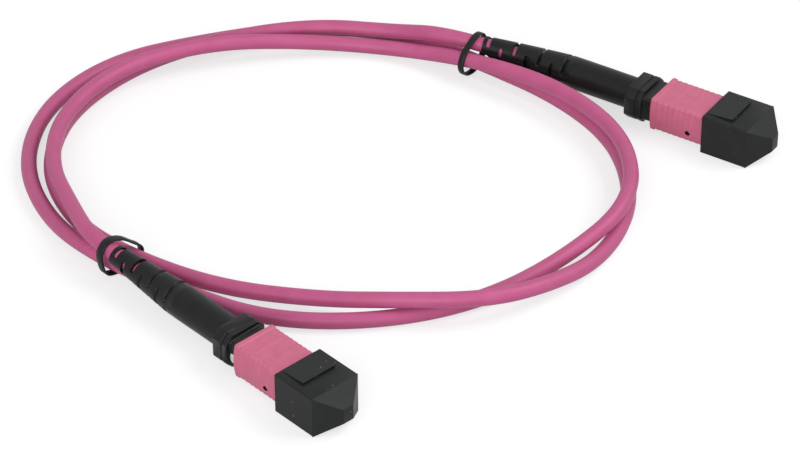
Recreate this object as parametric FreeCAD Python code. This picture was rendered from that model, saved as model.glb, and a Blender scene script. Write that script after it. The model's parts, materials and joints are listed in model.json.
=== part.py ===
"""Patch cord with a multi-fibre push-on connector at each end.

Millimetres, +Z up, floor at z = 0.  Each connector is built in its own frame:
x = 0 is the back rim of the dust cap, +x points at the mating side, z = 0 is
the axis of the fibres.  place() carries a piece to where its connector lies.
"""
import FreeCAD, Part
import math
import os

os.makedirs("parts", exist_ok=True)

V = FreeCAD.Vector
ORIGIN = V(0, 0, 0)
X_AXIS = V(1, 0, 0)
Y_AXIS = V(0, 1, 0)
Z_AXIS = V(0, 0, 1)
PROUD = 1.0             # how far a cutter runs past the face it cuts

# fits, as the gap on each side
SLIDE_GAP = 0.12        # coupling sleeve on the inner housing
CAP_GAP = 0.20          # dust cap's ribs on the inner housing
SEAT_GAP = 0.10         # rear body in the inner housing
FERRULE_GAP = 0.15      # ferrule and spring in the inner housing
CRIMP_GAP = 0.05        # crimp ring on the rear body's tail, cable in the crimp
BOOT_GAP = 0.08         # boot on the crimp ring and on the cable
SPRING_GAP = 0.08       # coupling springs in their grooves
STOP_GAP = 0.3          # room left when a moving piece reaches its stop

# dust cap
CAP_W = 14.2
CAP_H = 10.9
CAP_L = 12.65           # square part, in front of which the nose tapers
CAP_TIP_L = 4.6
CAP_TIP_W = 2.9
CAP_TIP_H = 3.9
CAP_WALL = 1.1
CAP_EDGE = 0.3
SKIRT_L = 1.1
SKIRT_WALL = 0.6
PAD_W = 9.9
PAD_L = 7.5
PAD_RISE = 0.7
PAD_UNDERCUT = 0.35
CAP_RIB_T = 0.9
CAP_RIB_L = 7.0
CAP_RIB_Y = 3.2         # top and bottom ribs, each side of the key

# coupling sleeve
SLEEVE_W = 12.4
SLEEVE_H = 9.0
SLEEVE_CORNER = 1.5
SLEEVE_BULGE = 0.5
SLEEVE_BACK = -15.4
SLEEVE_FRONT = 0.8
SLEEVE_TRAVEL = 2.0
RIM_L = 1.1
RIM_LIP = 0.2
PANEL_BACK = -9.6
PANEL_FRONT = -6.1
PANEL_W = 9.6
PANEL_DEPTH = 0.2
PEEP_D = 0.9
PEEP_X = -4.4
PEEP_Z = -1.7
GRIP_COUNT = 11
GRIP_PITCH = 0.8
GRIP_W = 0.3
GRIP_DEPTH = 0.16
GRIP_H = 6.2
GRIP_FIRST = -13.4

# inner housing, the part that plugs in
NOSE_W = 9.7
NOSE_H = 6.7
NOSE_FRONT = 9.4
NOSE_EDGE = 0.4
HOUSING_BACK = -13.6
KEY_W = 3.0
KEY_H = 0.8
KEY_FRONT = 8.2
LATCH_BACK = 3.4
LATCH_FRONT = 5.6
LATCH_DEPTH = 0.7
SNAP_X = -11.6
SNAP_L = 1.6
SNAP_W = 3.0
SNAP_RISE = 0.7
SNAP_PLAY = 0.2

# ferrule and what moves with it
FERRULE_W = 6.4
FERRULE_H = 2.5
FERRULE_FRONT = 10.2
LEDGE_X = 4.2           # where the ferrule's flange bears on the housing
FLANGE_W = 7.2
FLANGE_H = 3.2
FLANGE_L = 2.0
WINDOW_W = 3.0
WINDOW_L = 1.4
WINDOW_X = 6.4
WINDOW_DEPTH = 0.8
PIN_PITCH = 4.6
PIN_HOLE_D = 0.7
FERRULE_TRAVEL = 0.8
KEEPER_W = 7.0
KEEPER_H = 4.2
KEEPER_L = 1.6
STRAIN_W = 5.0
STRAIN_H = 1.9
STRAIN_L = 4.6
RIBBON_W = 3.0
RIBBON_H = 0.4

# springs, as the outer and inner shapes of their coils
OVAL_SPRING_W = 7.2
OVAL_SPRING_H = 4.4
OVAL_SPRING_WIRE = 0.7
SIDE_SPRING_D = 1.1
SIDE_SPRING_WIRE = 0.25
SIDE_SPRING_FRONT = -3.6
SIDE_SPRING_L = 6.6

# rear body and collar
SEAT_FRONT = -8.0
COLLAR_W = 12.0
COLLAR_H = 9.2
COLLAR_FRONT = -18.2
COLLAR_BACK = -23.1
COLLAR_CHAMFER = 2.0
COLLAR_RING_L = 1.5
COLLAR_GROOVE_W = 0.4
COLLAR_GROOVE_DEPTH = 0.3
RIBBON_WAY_W = 5.4
RIBBON_WAY_H = 2.2
RIBBON_WAY_BACK = -17.5
TAIL_D = 4.9
TAIL_BORE_D = 3.4
TAIL_BACK = -31.0
TAIL_RING_PITCH = 1.2
TAIL_RING_DEPTH = 0.15
CRIMP_WALL = 0.45
CRIMP_FRONT = -23.6
CRIMP_BACK = -33.5

# boot
BOOT_D = 8.4
BOOT_TIP_D = 5.0
TAPER_START = -43.0
BEND_START = -35.0
TAPER_STEPS = 9
SLOT_W = 1.05
SLOT_FIRST = -42.8      # the slot nearest the collar
SLOT_COUNT = 7
SLOT_DEPTH = 1.25
SLOT_TIP_MARGIN = 1.5
SLOT_HALF_TOP = 80.0    # degrees each side, at the collar end
SLOT_HALF_TOP_TIP = 62.0
SLOT_HALF_SIDE = 43.0

# cable, its ties, and how the two connectors lie
CABLE_D = 4.0
EXIT_RUN = 12.0         # straight run beyond each boot's tip
ARC_SHARE = 0.45        # of the shorter run, on each side of a turn
TIE_T = 0.5
TIE_W = 1.3
TIE_PLAY = 0.33
TIE_BEHIND = 3.5        # how far each tie lies beyond its boot's tip
TIE_REACH = 36.0        # size of the square in which its strands are looked for
TIE_FIND = 1e-6
AXIS_Z = CAP_H / 2
ENDS = {
    "a": {"x": -6.0, "y": 0.0, "yaw": 0.0, "tip": -63.8,
          "bend_r": 170.0, "bend_y": -0.500, "bend_z": 0.866},
    "b": {"x": -12.07, "y": 146.49, "yaw": 13.93, "tip": -66.5,
          "bend_r": 110.0, "bend_y": -0.910, "bend_z": 0.415},
}
ROUTE = [
    (-94.0, 4.5, 7.0), (-111.5, 12.0, 6.6), (-127.0, 28.5, 6.6),
    (-133.0, 52.5, 6.6), (-125.0, 76.5, 7.0), (-113.0, 97.5, 3.7),
    (-96.0, 114.5, 2.0), (-71.0, 122.0, 5.2), (-46.0, 127.5, 6.5),
    (-20.0, 123.0, 6.8), (0.5, 104.0, 8.0), (1.2, 78.5, 3.4),
    (-2.0, 54.0, 2.0), (-13.0, 31.0, 2.0), (-31.5, 12.5, 2.0),
    (-54.0, 5.0, 2.0), (-77.0, -1.2, 3.15), (-99.0, 0.5, 2.0),
    (-121.5, 11.0, 2.0), (-137.5, 31.0, 2.0), (-142.0, 56.5, 2.0),
    (-132.5, 81.0, 2.0), (-118.0, 107.0, 2.0), (-97.0, 122.0, 2.0),
    (-75.5, 124.5, 3.15), (-50.0, 129.5, 2.0), (-25.5, 125.3, 2.0),
    (-4.7, 109.7, 2.0), (6.3, 87.0, 2.0), (7.5, 64.5, 6.0),
    (2.5, 50.0, 7.2), (-12.0, 36.0, 6.4), (-28.0, 26.0, 3.0),
    (-49.0, 12.5, 2.0), (-73.0, 4.0, 3.15), (-94.0, 4.5, 2.0),
    (-115.5, 13.5, 2.0), (-131.0, 32.5, 2.0), (-135.0, 57.5, 3.0),
    (-128.0, 81.0, 4.6), (-115.5, 103.5, 4.8), (-98.4, 117.3, 4.7),
]


# ---------------------------------------------------------------- helpers

def block(x0, x1, width, height, y=0.0, z=0.0):
    """A box from x0 to x1, centred on (y, z)."""
    corner = V(min(x0, x1), y - width / 2, z - height / 2)
    return Part.makeBox(abs(x1 - x0), width, height, corner)


def rod(x0, x1, diameter, y=0.0, z=0.0):
    """A cylinder along x, from x0 to x1."""
    start = V(min(x0, x1), y, z)
    return Part.makeCylinder(diameter / 2, abs(x1 - x0), start, X_AXIS)


def eased_block(x0, x1, width, height, edge):
    """A box whose four long edges are chamfered."""
    half_w = width / 2
    half_h = height / 2
    corners = [(half_w, half_h - edge), (half_w - edge, half_h),
               (edge - half_w, half_h), (-half_w, half_h - edge),
               (-half_w, edge - half_h), (edge - half_w, -half_h),
               (half_w - edge, -half_h), (half_w, edge - half_h)]
    ring = [V(x0, y, z) for y, z in corners]
    face = Part.Face(Part.makePolygon(ring + ring[:1]))
    return face.extrude(V(x1 - x0, 0, 0))


def racetrack(x0, x1, width, height):
    """A bar whose section is a rectangle with round ends."""
    reach = (width - height) / 2
    bar = block(x0, x1, 2 * reach, height)
    ends = [rod(x0, x1, height, y=side * reach) for side in (-1, 1)]
    return bar.fuse(ends).removeSplitter()


def place(shape, end):
    """Carry a piece from its connector's frame to where that end lies."""
    lie = ENDS[end]
    turn = FreeCAD.Rotation(Z_AXIS, lie["yaw"])
    where = FreeCAD.Placement(V(lie["x"], lie["y"], AXIS_Z), turn)
    moved = shape.copy()
    moved.Placement = where.multiply(moved.Placement)
    return moved


def save(shape, node):
    """Write one node, after a look at whether it is sound."""
    if not shape.isValid() or shape.Volume <= 0:
        raise ValueError(node + " is not a sound solid")
    shape.exportStep("parts/" + node + ".step")
    print("%-24s %d solid(s) %9.3f mm3" % (node, len(shape.Solids), shape.Volume))


# --------------------------------------------------------------- dust cap

def cap_shell():
    """Square tube with a four-sided tapered nose, hollow from the back."""
    body = eased_block(0, CAP_L, CAP_W, CAP_H, CAP_EDGE)
    nose = taper(CAP_L, CAP_W, CAP_H, CAP_L + CAP_TIP_L, CAP_TIP_W, CAP_TIP_H)
    hollow = block(-PROUD, CAP_L - CAP_WALL,
                   CAP_W - 2 * CAP_WALL, CAP_H - 2 * CAP_WALL)
    skirt = block(-PROUD, SKIRT_L, CAP_W - 2 * SKIRT_WALL, CAP_H - 2 * SKIRT_WALL)
    return body.fuse(nose).cut(hollow).cut(skirt).removeSplitter()


def taper(x0, w0, h0, x1, w1, h1):
    """A solid that narrows from one rectangle to another along x."""
    rings = []
    for x, w, h in ((x0, w0, h0), (x1, w1, h1)):
        ring = [V(x, s * w / 2, t * h / 2) for s, t in ((1, 1), (-1, 1), (-1, -1), (1, -1))]
        rings.append(Part.makePolygon(ring + ring[:1]))
    return Part.makeLoft(rings, True, True)


def cap_pad():
    """Raised thumb pad on top, undercut along its front edge."""
    top = CAP_H / 2
    pad = block(0, PAD_L, PAD_W, PAD_RISE, z=top + PAD_RISE / 2)
    notch = block(PAD_L - PAD_UNDERCUT, PAD_L + PROUD, PAD_W + PROUD, PAD_RISE / 2,
                  z=top + PAD_RISE / 4)
    return pad.cut(notch)


def cap_ribs():
    """Six ribs inside, which grip the housing's nose."""
    x0 = SKIRT_L + STOP_GAP
    x1 = x0 + CAP_RIB_L
    ribs = []
    for side in (-1, 1):
        inner = NOSE_H / 2 + CAP_GAP
        outer = CAP_H / 2 - CAP_WALL / 2
        for y in (-CAP_RIB_Y, CAP_RIB_Y):
            ribs.append(block(x0, x1, CAP_RIB_T, outer - inner, y=y,
                              z=side * (inner + outer) / 2))
        inner = NOSE_W / 2 + CAP_GAP
        outer = CAP_W / 2 - CAP_WALL / 2
        ribs.append(block(x0, x1, outer - inner, CAP_RIB_T,
                          y=side * (inner + outer) / 2))
    return ribs


def dust_cap():
    return cap_shell().fuse([cap_pad()] + cap_ribs()).removeSplitter()


# --------------------------------------------------------- coupling sleeve

def sleeve_profile(x, grow=0.0):
    """Rectangle with round corners and sides that bulge outwards."""
    half_w = SLEEVE_W / 2 + grow
    half_h = SLEEVE_H / 2 + grow
    side = half_w - SLEEVE_BULGE
    flat = side - SLEEVE_CORNER
    shoulder = half_h - SLEEVE_CORNER
    dip = SLEEVE_CORNER * (1 - math.sqrt(0.5))

    def corner(s, t):
        return V(x, s * (side - dip), t * (half_h - dip))

    edges = [
        Part.Arc(V(x, side, -shoulder), V(x, half_w, 0), V(x, side, shoulder)),
        Part.Arc(V(x, side, shoulder), corner(1, 1), V(x, flat, half_h)),
        Part.LineSegment(V(x, flat, half_h), V(x, -flat, half_h)),
        Part.Arc(V(x, -flat, half_h), corner(-1, 1), V(x, -side, shoulder)),
        Part.Arc(V(x, -side, shoulder), V(x, -half_w, 0), V(x, -side, -shoulder)),
        Part.Arc(V(x, -side, -shoulder), corner(-1, -1), V(x, -flat, -half_h)),
        Part.LineSegment(V(x, -flat, -half_h), V(x, flat, -half_h)),
        Part.Arc(V(x, flat, -half_h), corner(1, -1), V(x, side, -shoulder)),
    ]
    return Part.Wire([edge.toShape() for edge in edges])


def sleeve_bar(x0, x1, grow=0.0):
    return Part.Face(sleeve_profile(x0, grow)).extrude(V(x1 - x0, 0, 0))


def grip_grooves():
    """Upright grooves down both bulging sides."""
    grooves = []
    for i in range(GRIP_COUNT):
        x = GRIP_FIRST + i * GRIP_PITCH
        for side in (-1, 1):
            y = side * (SLEEVE_W / 2 - GRIP_DEPTH + PROUD / 2)
            grooves.append(block(x - GRIP_W / 2, x + GRIP_W / 2, PROUD, GRIP_H, y=y))
    return grooves


def side_spring_bore(x0, x1):
    """The two round grooves that hold the coupling springs."""
    bore = SIDE_SPRING_D + 2 * SPRING_GAP
    return [rod(x0, x1, bore, y=side * NOSE_W / 2) for side in (-1, 1)]


def coupling_sleeve():
    body = sleeve_bar(SLEEVE_BACK, SLEEVE_FRONT)
    rim = sleeve_bar(SLEEVE_BACK, SLEEVE_BACK + RIM_L, RIM_LIP)
    way = eased_block(SLEEVE_BACK - PROUD, SLEEVE_FRONT + PROUD,
                      NOSE_W + 2 * SLIDE_GAP, NOSE_H + 2 * SLIDE_GAP, NOSE_EDGE)
    panel = block(PANEL_BACK, PANEL_FRONT, PANEL_W, PROUD,
                  z=SLEEVE_H / 2 - PANEL_DEPTH + PROUD / 2)
    peep = Part.makeCylinder(PEEP_D / 2, SLEEVE_W / 2, V(PEEP_X, 0, PEEP_Z), -Y_AXIS)
    # the springs push this pair of shoulders towards the front
    springs = side_spring_bore(SIDE_SPRING_FRONT - SIDE_SPRING_L - SLEEVE_TRAVEL - STOP_GAP,
                               SIDE_SPRING_FRONT)
    cutters = [way, panel, peep] + springs + grip_grooves()
    return body.fuse(rim).cut(cutters).removeSplitter()


def coupling_spring(side):
    """One small coil beside the housing, as a tube."""
    back = SIDE_SPRING_FRONT - SIDE_SPRING_L
    y = side * NOSE_W / 2
    outer = rod(back, SIDE_SPRING_FRONT, SIDE_SPRING_D, y=y)
    bore = rod(back - PROUD, SIDE_SPRING_FRONT + PROUD,
               SIDE_SPRING_D - 2 * SIDE_SPRING_WIRE, y=y)
    return outer.cut(bore)


# ----------------------------------------------------------- inner housing

def inner_housing():
    body = eased_block(HOUSING_BACK, NOSE_FRONT, NOSE_W, NOSE_H, NOSE_EDGE)
    key_back = SLEEVE_FRONT + STOP_GAP
    key = block(key_back, KEY_FRONT, KEY_W, KEY_H, z=NOSE_H / 2 + KEY_H / 2)
    mouth = block(LEDGE_X - PROUD, NOSE_FRONT + PROUD,
                  FERRULE_W + 2 * FERRULE_GAP, FERRULE_H + 2 * FERRULE_GAP)
    chamber = square_way(HOUSING_BACK - PROUD, LEDGE_X)
    latches = [block(LATCH_BACK, LATCH_FRONT, 2 * LATCH_DEPTH, NOSE_H + PROUD,
                     y=side * NOSE_W / 2) for side in (-1, 1)]
    windows = block(SNAP_X - SNAP_L / 2 - SNAP_PLAY, SNAP_X + SNAP_L / 2 + SNAP_PLAY,
                    SNAP_W + 2 * SNAP_PLAY, NOSE_H + PROUD)
    springs = side_spring_bore(SIDE_SPRING_FRONT - SIDE_SPRING_L, SIDE_SPRING_FRONT + SLIDE_GAP)
    return body.fuse(key).cut([mouth, chamber, windows] + latches + springs)


def square_way(x0, x1):
    """The chamber that holds the flange, the keeper and the oval spring."""
    return block(x0, x1, OVAL_SPRING_W + 2 * FERRULE_GAP, OVAL_SPRING_H + 2 * FERRULE_GAP)


# ----------------------------------------------------------------- ferrule

def ferrule():
    """Moulded block with twelve fibre ends between two guide holes."""
    flange_back = LEDGE_X - FLANGE_L
    body = block(flange_back, FERRULE_FRONT, FERRULE_W, FERRULE_H)
    flange = block(flange_back, LEDGE_X, FLANGE_W, FLANGE_H)
    holes = [rod(flange_back - PROUD, FERRULE_FRONT + PROUD, PIN_HOLE_D,
                 y=side * PIN_PITCH / 2) for side in (-1, 1)]
    window = block(WINDOW_X, WINDOW_X + WINDOW_L, WINDOW_W, 2 * WINDOW_DEPTH,
                   z=FERRULE_H / 2)
    return body.fuse(flange).cut(holes + [window]).removeSplitter()


def pin_keeper():
    """Frame behind the flange, which carries the spring's push."""
    back = LEDGE_X - FLANGE_L - KEEPER_L
    frame = block(back, back + KEEPER_L, KEEPER_W, KEEPER_H)
    hole = block(back - PROUD, back + KEEPER_L + PROUD,
                 STRAIN_W + 2 * FERRULE_GAP, STRAIN_H + 2 * FERRULE_GAP)
    return frame.cut(hole)


def ferrule_boot():
    """Soft sleeve where the fibres leave the ferrule."""
    front = LEDGE_X - FLANGE_L
    sleeve = racetrack(front - STRAIN_L, front, STRAIN_W, STRAIN_H)
    return sleeve.cut(block(front - STRAIN_L - PROUD, front + PROUD, RIBBON_W, RIBBON_H))


def fibre_ribbon():
    """The row of bare fibres, from the ferrule back into the cable's end."""
    back = TAIL_BACK + FERRULE_TRAVEL + STOP_GAP
    return block(back, LEDGE_X - FLANGE_L, RIBBON_W, RIBBON_H)


def ferrule_spring():
    """Oval coil between the keeper and the rear body, as a tube."""
    front = LEDGE_X - FLANGE_L - KEEPER_L
    outer = racetrack(SEAT_FRONT, front, OVAL_SPRING_W, OVAL_SPRING_H)
    bore = racetrack(SEAT_FRONT - PROUD, front + PROUD,
                     OVAL_SPRING_W - 2 * OVAL_SPRING_WIRE,
                     OVAL_SPRING_H - 2 * OVAL_SPRING_WIRE)
    return outer.cut(bore)


# --------------------------------------------------------------- rear body

def collar():
    """Eight-sided collar: a ring in front, a groove, then the main block."""
    body = eased_block(COLLAR_BACK, COLLAR_FRONT, COLLAR_W, COLLAR_H, COLLAR_CHAMFER)
    groove_x = COLLAR_FRONT - COLLAR_RING_L
    shrink = 2 * COLLAR_GROOVE_DEPTH
    outside = eased_block(groove_x - COLLAR_GROOVE_W, groove_x,
                          COLLAR_W + PROUD, COLLAR_H + PROUD, COLLAR_CHAMFER)
    inside = eased_block(groove_x - COLLAR_GROOVE_W, groove_x,
                         COLLAR_W - shrink, COLLAR_H - shrink, COLLAR_CHAMFER)
    return body.cut(outside.cut(inside))


def snap_tabs():
    """Ramped tabs that snap into the housing's windows."""
    half = (OVAL_SPRING_H / 2 + FERRULE_GAP) - SEAT_GAP
    tabs = []
    for side in (-1, 1):
        x0 = SNAP_X - SNAP_L / 2
        x1 = SNAP_X + SNAP_L / 2
        ring = [V(x0, -SNAP_W / 2, 0), V(x1, -SNAP_W / 2, 0),
                V(x1, -SNAP_W / 2, side * half),
                V(x0, -SNAP_W / 2, side * (half + SNAP_RISE))]
        tabs.append(Part.Face(Part.makePolygon(ring + ring[:1])).extrude(V(0, SNAP_W, 0)))
    return tabs


def tail():
    """Ringed tube that the cable's yarns are crimped on."""
    tube = rod(TAIL_BACK, COLLAR_BACK, TAIL_D)
    rings = []
    x = TAIL_BACK + TAIL_RING_PITCH
    while x < CRIMP_FRONT - TAIL_RING_PITCH:
        ring = rod(x, x + TAIL_RING_PITCH / 2, TAIL_D + PROUD)
        rings.append(ring.cut(rod(x - PROUD, x + PROUD, TAIL_D - 2 * TAIL_RING_DEPTH)))
        x += TAIL_RING_PITCH
    return tube.cut(rings)


def rear_body():
    """Holds the spring in the housing; its collar meets the boot."""
    chamber_w = OVAL_SPRING_W + 2 * FERRULE_GAP
    chamber_h = OVAL_SPRING_H + 2 * FERRULE_GAP
    insert = block(HOUSING_BACK, SEAT_FRONT, chamber_w - 2 * SEAT_GAP,
                   chamber_h - 2 * SEAT_GAP)
    neck = eased_block(COLLAR_FRONT, HOUSING_BACK, NOSE_W, NOSE_H, NOSE_EDGE)
    way = racetrack(RIBBON_WAY_BACK, SEAT_FRONT + PROUD, RIBBON_WAY_W, RIBBON_WAY_H)
    bore = rod(TAIL_BACK - PROUD, RIBBON_WAY_BACK + PROUD, TAIL_BORE_D)
    body = insert.fuse(snap_tabs() + [neck, collar(), tail()])
    return body.cut([way, bore]).removeSplitter()


def crimp_ring():
    """Stepped metal ring: wide over the tail, narrow over the cable."""
    inner = TAIL_D / 2 + CRIMP_GAP
    neck = CABLE_D / 2 + CRIMP_GAP
    step = TAIL_BACK
    outline = [V(CRIMP_FRONT, inner, 0), V(CRIMP_FRONT, inner + CRIMP_WALL, 0),
               V(step - CRIMP_WALL, inner + CRIMP_WALL, 0),
               V(step - 2 * CRIMP_WALL, neck + CRIMP_WALL, 0),
               V(CRIMP_BACK, neck + CRIMP_WALL, 0), V(CRIMP_BACK, neck, 0),
               V(step, neck, 0), V(step, inner, 0)]
    face = Part.Face(Part.makePolygon(outline + outline[:1]))
    return face.revolve(ORIGIN, X_AXIS, 360)


# -------------------------------------------------------------------- boot

class Bend:
    """The gentle arc that one boot and the cable in it follow."""

    def __init__(self, end):
        lie = ENDS[end]
        self.radius = lie["bend_r"]
        reach = math.hypot(lie["bend_y"], lie["bend_z"])
        self.side = V(0, lie["bend_y"] / reach, lie["bend_z"] / reach)

    def angle(self, x):
        return max(0.0, BEND_START - x) / self.radius

    def point(self, x):
        """Where a station x along the straight boot comes to lie."""
        if x >= BEND_START:
            return V(x, 0, 0)
        turn = self.angle(x)
        forward = V(BEND_START - self.radius * math.sin(turn), 0, 0)
        return forward + self.side * (self.radius * (1 - math.cos(turn)))

    def heading(self, x):
        """Unit direction of the boot's axis there, away from the collar."""
        turn = self.angle(x)
        return X_AXIS * -math.cos(turn) + self.side * math.sin(turn)

    def carry(self, shape, x):
        """Move a piece made at the origin along x to station x on the arc."""
        turn = FreeCAD.Rotation(-X_AXIS, self.heading(x))
        moved = shape.copy()
        moved.Placement = FreeCAD.Placement(self.point(x), turn).multiply(moved.Placement)
        return moved


def boot_radius(x, tip):
    """Plain tube, then a straight taper down to the tip."""
    if x >= TAPER_START:
        return BOOT_D / 2
    share = (TAPER_START - x) / (TAPER_START - tip)
    return BOOT_D / 2 + share * (BOOT_TIP_D - BOOT_D) / 2


def bent_rod(bend, x0, x1, diameter):
    """A round bar of one diameter along the arc."""
    circle = Part.Circle(bend.point(x0), bend.heading(x0), diameter / 2)
    face = Part.Face(Part.Wire(circle.toShape()))
    hub = bend.point(BEND_START) + bend.side * bend.radius
    axle = bend.heading(BEND_START).cross(bend.side)
    return face.revolve(hub, axle, math.degrees(bend.angle(x1) - bend.angle(x0)))


def bent_taper(bend, tip):
    """The narrowing stretch, lofted through evenly spaced circles."""
    rings = []
    for i in range(TAPER_STEPS + 1):
        x = TAPER_START + (tip - TAPER_START) * i / TAPER_STEPS
        circle = Part.Circle(bend.point(x), bend.heading(x), boot_radius(x, tip))
        rings.append(Part.Wire(circle.toShape()))
    return Part.makeLoft(rings, True, True)


def slot_cutter(radius, half_angle):
    """A thin sector of a ring with round ends, which cuts the wall from above."""
    outer = radius + PROUD
    inner = radius - SLOT_DEPTH
    reach = half_angle - math.degrees(SLOT_W / 2 / radius)
    start = V(-SLOT_W / 2, 0, 0)
    sector = Part.makeCylinder(outer, SLOT_W, start, X_AXIS, 2 * reach)
    sector.rotate(ORIGIN, X_AXIS, -reach)
    sector = sector.cut(Part.makeCylinder(inner, SLOT_W, start, X_AXIS))
    for side in (-1, 1):
        turn = math.radians(side * reach)
        out = V(0, math.sin(turn), math.cos(turn))
        end = Part.makeCylinder(SLOT_W / 2, outer - inner, out * inner, out)
        sector = sector.fuse(end)
    return sector


def boot_slots(bend, tip):
    """Pairs of slots, by turns above and below and at the two sides."""
    last = tip + SLOT_TIP_MARGIN
    cutters = []
    for i in range(SLOT_COUNT):
        share = i / (SLOT_COUNT - 1)
        x = SLOT_FIRST + share * (last - SLOT_FIRST)
        upright = i % 2 == 0
        half = SLOT_HALF_SIDE
        if upright:
            half = SLOT_HALF_TOP + share * (SLOT_HALF_TOP_TIP - SLOT_HALF_TOP)
        cutter = slot_cutter(boot_radius(x, tip), half)
        for turn in (0, 180):
            piece = cutter.copy()
            piece.rotate(ORIGIN, X_AXIS, turn if upright else turn + 90)
            cutters.append(bend.carry(piece, x))
    return cutters


def boot(end):
    """Tapered rubber sleeve, slotted so that it bends."""
    bend = Bend(end)
    tip = ENDS[end]["tip"]
    cable_way = CABLE_D / 2 + BOOT_GAP
    crimp_way = TAIL_D + 2 * (CRIMP_GAP + CRIMP_WALL + BOOT_GAP)
    shoulder = CRIMP_BACK - STOP_GAP
    root = rod(BEND_START, COLLAR_BACK, BOOT_D)
    plain = bent_rod(bend, BEND_START, TAPER_START, BOOT_D)
    body = root.fuse([plain, bent_taper(bend, tip)])
    way = bent_rod(bend, BEND_START, tip - PROUD, 2 * cable_way)
    way = way.fuse(rod(BEND_START, shoulder, 2 * cable_way))
    way = way.fuse(rod(shoulder, COLLAR_BACK + PROUD, crimp_way))
    body = body.cut(way)
    for slot in boot_slots(bend, tip):
        body = body.cut(slot)
    return body.removeSplitter()


# ------------------------------------------------------------ cable, ties

def to_part(point, end):
    """A point in one connector's frame, in the part's frame."""
    lie = ENDS[end]
    turn = FreeCAD.Rotation(Z_AXIS, lie["yaw"])
    return turn.multVec(point) + V(lie["x"], lie["y"], AXIS_Z)


def cable_lead(end):
    """Straight and bent edges inside one boot, and the point beyond its tip."""
    bend = Bend(end)
    tip = ENDS[end]["tip"]
    stations = [TAIL_BACK, BEND_START, (BEND_START + tip) / 2, tip]
    start, turn, middle, exit_point = [to_part(bend.point(x), end) for x in stations]
    edges = [Part.LineSegment(start, turn), Part.Arc(turn, middle, exit_point)]
    beyond = to_part(bend.point(tip) + bend.heading(tip) * EXIT_RUN, end)
    return edges, exit_point, beyond


def rounded_run(points):
    """Straight runs joined by arcs as large as the runs allow."""
    edges = []
    radii = []
    here = points[0]
    for before, corner, after in zip(points, points[1:], points[2:]):
        back = before - corner
        ahead = after - corner
        turn = math.pi - back.getAngle(ahead)
        trim = ARC_SHARE * min(back.Length, ahead.Length)
        radius = trim / math.tan(turn / 2)
        radii.append(radius)
        start = corner + back.normalize() * trim
        end = corner + ahead.normalize() * trim
        inward = (back + ahead).normalize()
        middle = corner + inward * (radius / math.cos(turn / 2) - radius)
        edges.append(Part.LineSegment(here, start))
        edges.append(Part.Arc(start, middle, end))
        here = end
    edges.append(Part.LineSegment(here, points[-1]))
    return edges, radii


def cable_path():
    """The cable's centre line, from one crimp to the other."""
    lead_a, exit_a, beyond_a = cable_lead("a")
    lead_b, exit_b, beyond_b = cable_lead("b")
    points = [exit_a, beyond_a] + [V(*point) for point in ROUTE] + [beyond_b, exit_b]
    run, radii = rounded_run(points)
    print("cable radii:", " ".join("%.0f" % radius for radius in radii))
    print("smallest %.1f mm, free length %.1f mm"
          % (min(radii), sum(edge.length() for edge in run)))
    edges = [edge.toShape() for edge in lead_a + run]
    edges += [edge.toShape() for edge in reversed(lead_b)]
    return Part.Wire(Part.__sortEdges__(edges))


def cable(path):
    first = to_part(V(TAIL_BACK, 0, 0), "a")
    profile = Part.Wire(Part.Circle(first, X_AXIS, CABLE_D / 2).toShape())
    tube = path.makePipe(Part.Face(profile))
    print("cable volume %.1f, section times length %.1f"
          % (tube.Volume, math.pi * CABLE_D ** 2 / 4 * path.Length))
    return tube


def to_connector(shape, end):
    """A shape of the part, seen from one connector's frame."""
    lie = ENDS[end]
    turn = FreeCAD.Rotation(Z_AXIS, lie["yaw"])
    there = FreeCAD.Placement(V(lie["x"], lie["y"], AXIS_Z), turn)
    moved = shape.copy()
    moved.Placement = there.inverse().multiply(moved.Placement)
    return moved


def upright_sheet(x):
    """A square face across the cable's strands at station x."""
    half = TIE_REACH / 2
    ring = [V(x, half, half), V(x, -half, half), V(x, -half, -half), V(x, half, -half)]
    return Part.Face(Part.makePolygon(ring + ring[:1]))


def hull_face(centres, radius):
    """The shape of a band pulled round equal circles, given in order."""
    edges = []
    count = len(centres)
    middle = sum(centres, V(0, 0, 0)) * (1 / count)
    for i in range(count):
        before, here, after = centres[i - 1], centres[i], centres[(i + 1) % count]
        arrive = X_AXIS.cross(here - before).normalize() * -radius
        leave = X_AXIS.cross(after - here).normalize() * -radius
        halfway = (here - middle).normalize() * radius
        edges.append(Part.Arc(here + arrive, here + halfway, here + leave))
        next_leave = after + leave
        edges.append(Part.LineSegment(here + leave, next_leave))
    return Part.Face(Part.Wire([edge.toShape() for edge in edges]))


def tie(path, end):
    """Band round the three strands that lie together behind one boot."""
    station = ENDS[end]["tip"] - TIE_BEHIND
    crossings = []
    for edge in to_connector(path, end).Edges:
        gap = edge.distToShape(upright_sheet(station))
        if gap[0] < TIE_FIND:
            crossings.append(gap[1][0][0])
    middle = sum(crossings, V(0, 0, 0)) * (1 / len(crossings))
    crossings.sort(key=lambda p: math.atan2(p.z - middle.z, p.y - middle.y))
    inner = CABLE_D / 2 + TIE_PLAY
    band = hull_face(crossings, inner + TIE_T).cut(hull_face(crossings, inner))
    loop = band.extrude(V(TIE_W, 0, 0))
    loop.translate(V(-TIE_W / 2, 0, 0))
    return place(loop, end)


# ---------------------------------------------------------------- assembly

def connector(end):
    """Every piece of one connector, in its own frame."""
    return {
        "dust_cap": dust_cap(),
        "coupling_sleeve": coupling_sleeve(),
        "coupling_spring_left": coupling_spring(1),
        "coupling_spring_right": coupling_spring(-1),
        "inner_housing": inner_housing(),
        "ferrule": ferrule(),
        "pin_keeper": pin_keeper(),
        "ferrule_boot": ferrule_boot(),
        "fibre_ribbon": fibre_ribbon(),
        "ferrule_spring": ferrule_spring(),
        "rear_body": rear_body(),
        "crimp_ring": crimp_ring(),
        "boot": boot(end),
    }


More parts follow.
